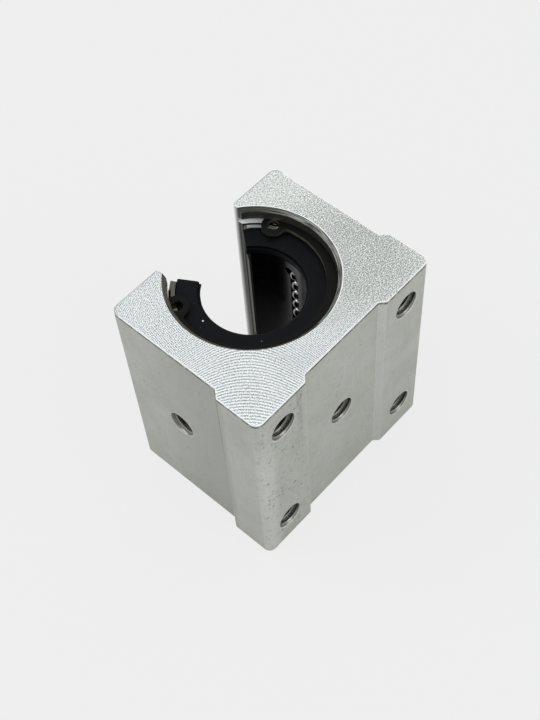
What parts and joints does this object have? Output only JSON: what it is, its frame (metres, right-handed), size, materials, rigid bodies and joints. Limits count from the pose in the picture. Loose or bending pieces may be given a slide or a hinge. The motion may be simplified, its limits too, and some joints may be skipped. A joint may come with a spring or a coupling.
{
  "type": "linear bearing block",
  "caption": "Open aluminium pillow block holding a recirculating ball bushing between two retaining rings, for a shaft supported along its length.",
  "frame": {"origin": "on the shaft axis, in the lower end face of the block", "axes": "+Z runs along the shaft, -Y points out of the mounting face, +Y out of the open side, X goes across"},
  "size_m": [0.048, 0.0375, 0.05],
  "materials": {
    "housing_aluminium": "extruded, satin, with milled end faces",
    "sleeve_steel": "ground bearing steel",
    "retainer_plastic": "moulded black resin",
    "seal_rubber": "moulded black rubber",
    "ring_steel": "black oxide spring steel",
    "ball_steel": "polished bearing balls"
  },
  "bodies": {
    "block": {"housing": "housing_aluminium", "outer_sleeve": "sleeve_steel", "ball_retainer": "retainer_plastic", "end_seal_top": "seal_rubber", "end_seal_bottom": "seal_rubber", "retaining_ring_top": "ring_steel", "retaining_ring_bottom": "ring_steel"},
    "load_row_1": {"ball_load_row_1": "ball_steel"},
    "return_row_1": {"ball_return_row_1": "ball_steel"},
    "turn_top_1": {"ball_turn_top_1": "ball_steel"},
    "turn_bottom_1": {"ball_turn_bottom_1": "ball_steel"},
    "load_row_2": {"ball_load_row_2": "ball_steel"},
    "return_row_2": {"ball_return_row_2": "ball_steel"},
    "turn_top_2": {"ball_turn_top_2": "ball_steel"},
    "turn_bottom_2": {"ball_turn_bottom_2": "ball_steel"},
    "load_row_3": {"ball_load_row_3": "ball_steel"},
    "return_row_3": {"ball_return_row_3": "ball_steel"},
    "turn_top_3": {"ball_turn_top_3": "ball_steel"},
    "turn_bottom_3": {"ball_turn_bottom_3": "ball_steel"},
    "load_row_4": {"ball_load_row_4": "ball_steel"},
    "return_row_4": {"ball_return_row_4": "ball_steel"},
    "turn_top_4": {"ball_turn_top_4": "ball_steel"},
    "turn_bottom_4": {"ball_turn_bottom_4": "ball_steel"}
  },
  "joints": [
    {"name": "load_row_1_travel", "type": "slide", "parent": "block", "child": "load_row_1", "axis": [0, 0, 1], "range_m": [-0.00148, 0.00148]},
    {"name": "return_row_1_travel", "type": "slide", "parent": "block", "child": "return_row_1", "axis": [0, 0, 1], "range_m": [-0.00148, 0.00148]},
    {"name": "turn_top_1_swing", "type": "hinge", "parent": "block", "child": "turn_top_1", "pos_m": [0.01192, 0.00176, 0.03829], "axis": [-0.9792, 0.2027, 0], "range_deg": [-30, 30]},
    {"name": "turn_bottom_1_swing", "type": "hinge", "parent": "block", "child": "turn_bottom_1", "pos_m": [0.01192, 0.00176, 0.01171], "axis": [-0.9792, 0.2027, 0], "range_deg": [-30, 30]},
    {"name": "load_row_2_travel", "type": "slide", "parent": "block", "child": "load_row_2", "axis": [0, 0, 1], "range_m": [-0.00148, 0.00148]},
    {"name": "return_row_2_travel", "type": "slide", "parent": "block", "child": "return_row_2", "axis": [0, 0, 1], "range_m": [-0.00148, 0.00148]},
    {"name": "turn_top_2_swing", "type": "hinge", "parent": "block", "child": "turn_top_2", "pos_m": [0.00753, -0.0094, 0.03829], "axis": [-0.319, 0.9477, 0], "range_deg": [-30, 30]},
    {"name": "turn_bottom_2_swing", "type": "hinge", "parent": "block", "child": "turn_bottom_2", "pos_m": [0.00753, -0.0094, 0.01171], "axis": [-0.319, 0.9477, 0], "range_deg": [-30, 30]},
    {"name": "load_row_3_travel", "type": "slide", "parent": "block", "child": "load_row_3", "axis": [0, 0, 1], "range_m": [-0.00148, 0.00148]},
    {"name": "return_row_3_travel", "type": "slide", "parent": "block", "child": "return_row_3", "axis": [0, 0, 1], "range_m": [-0.00148, 0.00148]},
    {"name": "turn_top_3_swing", "type": "hinge", "parent": "block", "child": "turn_top_3", "pos_m": [-0.01148, 0.00364, 0.03829], "axis": [-0.9991, -0.0435, 0], "range_deg": [-30, 30]},
    {"name": "turn_bottom_3_swing", "type": "hinge", "parent": "block", "child": "turn_bottom_3", "pos_m": [-0.01148, 0.00364, 0.01171], "axis": [-0.9991, -0.0435, 0], "range_deg": [-30, 30]},
    {"name": "load_row_4_travel", "type": "slide", "parent": "block", "child": "load_row_4", "axis": [0, 0, 1], "range_m": [-0.00148, 0.00148]},
    {"name": "return_row_4_travel", "type": "slide", "parent": "block", "child": "return_row_4", "axis": [0, 0, 1], "range_m": [-0.00148, 0.00148]},
    {"name": "turn_top_4_swing", "type": "hinge", "parent": "block", "child": "turn_top_4", "pos_m": [-0.00894, -0.00808, 0.03829], "axis": [-0.4665, -0.8845, 0], "range_deg": [-30, 30]},
    {"name": "turn_bottom_4_swing", "type": "hinge", "parent": "block", "child": "turn_bottom_4", "pos_m": [-0.00894, -0.00808, 0.01171], "axis": [-0.4665, -0.8845, 0], "range_deg": [-30, 30]}
  ],
  "couplings": [
    {"joint": "return_row_1_travel", "follows": "load_row_1_travel", "ratio": -1},
    {"joint": "turn_top_1_swing", "follows": "load_row_1_travel", "rad_per_m": 354.61},
    {"joint": "turn_bottom_1_swing", "follows": "load_row_1_travel", "rad_per_m": 354.61},
    {"joint": "return_row_2_travel", "follows": "load_row_2_travel", "ratio": -1},
    {"joint": "turn_top_2_swing", "follows": "load_row_2_travel", "rad_per_m": 354.61},
    {"joint": "turn_bottom_2_swing", "follows": "load_row_2_travel", "rad_per_m": 354.61},
    {"joint": "return_row_3_travel", "follows": "load_row_3_travel", "ratio": -1},
    {"joint": "turn_top_3_swing", "follows": "load_row_3_travel", "rad_per_m": 354.61},
    {"joint": "turn_bottom_3_swing", "follows": "load_row_3_travel", "rad_per_m": 354.61},
    {"joint": "return_row_4_travel", "follows": "load_row_4_travel", "ratio": -1},
    {"joint": "turn_top_4_swing", "follows": "load_row_4_travel", "rad_per_m": 354.61},
    {"joint": "turn_bottom_4_swing", "follows": "load_row_4_travel", "rad_per_m": 354.61}
  ]
}
